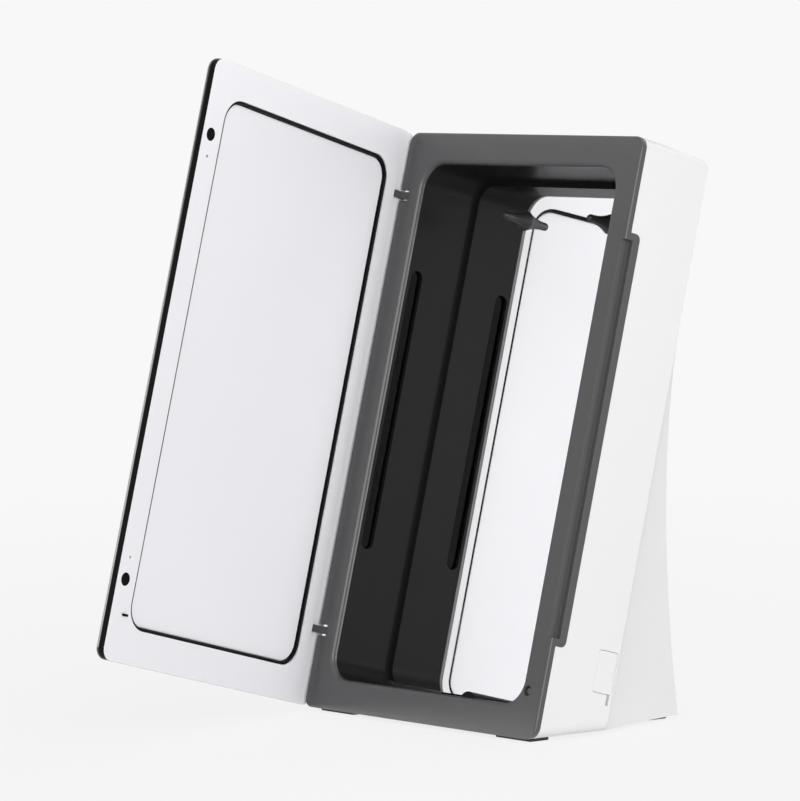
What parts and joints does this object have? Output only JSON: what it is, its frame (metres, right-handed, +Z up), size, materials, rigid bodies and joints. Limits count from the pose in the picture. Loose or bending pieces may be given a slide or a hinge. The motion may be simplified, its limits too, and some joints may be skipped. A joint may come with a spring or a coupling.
{
  "type": "uv phone sanitizer box",
  "caption": "Upright cabinet leaning on a flared stand, with a mirror-backed chamber, lamps behind side slots and a side-hung mirror-faced door.",
  "frame": {"origin": "on the floor, under the middle of the box that holds the whole part, door open by 77 degrees", "axes": "+X to the user's right when facing the open front, -Y out of the front towards the user, +Z up"},
  "size_m": [0.1472, 0.2254, 0.2704],
  "materials": {
    "frame_plastic": "satin",
    "chamber_plastic": "gloss",
    "shell_plastic": "soft gloss",
    "base_plastic": "matte",
    "mirror_glass": "polished",
    "door_plastic": "gloss",
    "door_inner": "satin silvering",
    "liner_plastic": "silvered, soft gloss",
    "arm_plastic": "satin",
    "seal_rubber": "satin",
    "foot_rubber": "matte",
    "peg_rubber": "satin",
    "button_plastic": "satin",
    "fastener_steel": "plain",
    "spring_steel": "drawn",
    "magnet_plate": "nickel",
    "magnet_black": "satin",
    "reflector_metal": "polished",
    "lamp_glass": "clear",
    "window_glass": "clear",
    "board_laminate": "satin",
    "coil_copper": "lacquered",
    "part_plastic": "satin"
  },
  "bodies": {
    "cabinet": {"front_frame": "frame_plastic", "chamber": "chamber_plastic", "back_mirror": "mirror_glass", "pegs": "peg_rubber", "outer_shell": "shell_plastic", "stand": "shell_plastic", "base_plate": "base_plastic", "rubber_feet": "foot_rubber", "port_cover": "shell_plastic", "power_jack": "part_plastic", "lamp_left": "lamp_glass", "lamp_right": "lamp_glass", "lamp_sockets": "foot_rubber", "lamp_windows": "window_glass", "lamp_reflectors": "reflector_metal", "power_board": "board_laminate", "lamp_transformer": "coil_copper", "board_parts": "part_plastic", "catch_magnets": "magnet_plate", "plunger_spring": "spring_steel", "door_switch": "part_plastic", "hinge_pins": "fastener_steel", "frame_screws": "fastener_steel", "rear_screws": "fastener_steel", "base_screws": "fastener_steel", "board_screws": "fastener_steel"},
    "plunger": {"switch_plunger": "button_plastic"},
    "door": {"door_cover": "door_plastic", "door_liner": "liner_plastic", "door_mirror": "door_inner", "door_seal": "seal_rubber", "door_magnets": "magnet_black", "hinge_arms": "arm_plastic"}
  },
  "joints": [
    {"name": "door_hinge", "type": "hinge", "parent": "cabinet", "child": "door", "pos_m": [-0.06519, 0.04953, 0.12194], "axis": [0, -0.2453, -0.9694], "range_deg": [-77, 28]},
    {"name": "switch_slide", "type": "slide", "parent": "cabinet", "child": "plunger", "axis": [0, 0.9694, -0.2453], "range_m": [0, 0.0012], "stiffness_N_per_m": 300, "springref_m": -0.002, "deforming": ["plunger_spring"]}
  ]
}
